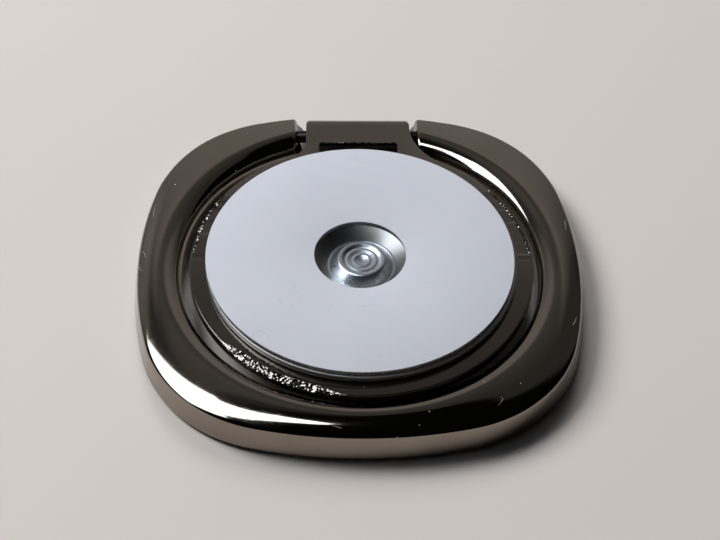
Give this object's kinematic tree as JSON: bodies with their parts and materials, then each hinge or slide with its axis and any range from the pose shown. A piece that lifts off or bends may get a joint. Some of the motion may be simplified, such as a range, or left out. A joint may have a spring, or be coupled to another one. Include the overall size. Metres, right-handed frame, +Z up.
{
  "type": "phone ring holder",
  "caption": "Phone ring holder: an adhesive disc carries a turning plate, on which a rounded-square finger ring folds out on a pinned hinge to act as a grip or a stand.",
  "frame": {"origin": "on the surface that the ring lies on, under the middle of the ring", "axes": "+Z up towards the sticker side that goes on the phone, +Y towards the hinge, +X to the right"},
  "size_m": [0.0414, 0.0408, 0.0053],
  "materials": {
    "gunmetal_ring": "mirror-polished black nickel",
    "dark_pin": "dark plated steel",
    "gunmetal_plate": "black nickel on sheared sheet",
    "gunmetal_disc": "black nickel on pressed sheet",
    "slip_film": "plain plastic film",
    "spring_steel": "plain spring steel",
    "bright_zinc": "spun bright zinc plate",
    "foam_tape": "grey foam tape",
    "liner_paper": "coated release paper"
  },
  "bodies": {
    "mount": {"mount_disc": "gunmetal_disc", "slip_washer": "slip_film", "spring_washer": "spring_steel", "rivet": "bright_zinc", "adhesive_pad": "foam_tape", "release_liner": "liner_paper"},
    "swivel": {"swivel_plate": "gunmetal_plate"},
    "ring": {"finger_ring": "gunmetal_ring", "hinge_pin": "dark_pin"}
  },
  "joints": [
    {"name": "swivel_turn", "type": "hinge", "parent": "mount", "child": "swivel", "pos_m": [0.00012, -0.00103, 0.0036], "axis": [0, 0, 1], "continuous": true},
    {"name": "ring_fold", "type": "hinge", "parent": "swivel", "child": "ring", "pos_m": [0, 0.01775, 0.0025], "axis": [1, 0, 0], "range_deg": [0, 95]}
  ]
}
